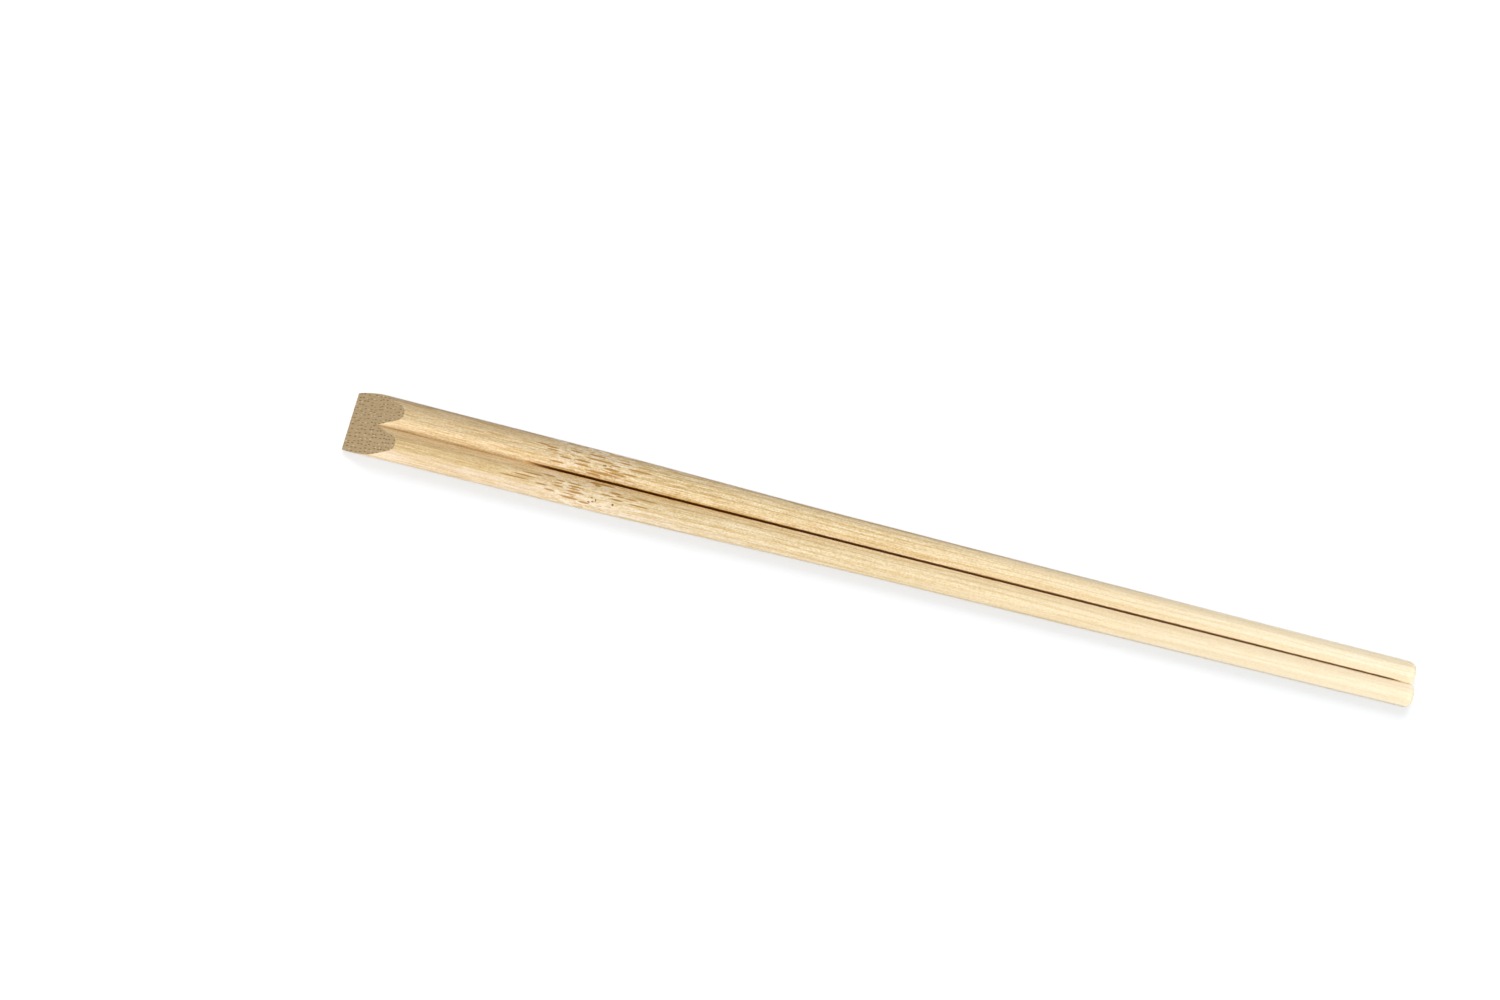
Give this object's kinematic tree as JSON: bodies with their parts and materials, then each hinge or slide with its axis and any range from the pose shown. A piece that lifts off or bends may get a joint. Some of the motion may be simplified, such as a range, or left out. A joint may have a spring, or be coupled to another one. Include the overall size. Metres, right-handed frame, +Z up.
{
  "type": "joined chopsticks",
  "caption": "Disposable bamboo chopsticks still joined at a sloped head: tapered rods with bevelled edges, a V-groove between them, a flat underside and a saw kerf to the rounded tips",
  "frame": {"origin": "on the table, under the middle of the pair's box", "axes": "+X along the pair from the head to the tips, +Y across it towards the far stick, +Z up"},
  "size_m": [0.23, 0.0138, 0.0051],
  "materials": {
    "bamboo": "sanded, untreated"
  },
  "bodies": {
    "root": {"chopstick_pair": "bamboo"}
  },
  "joints": []
}
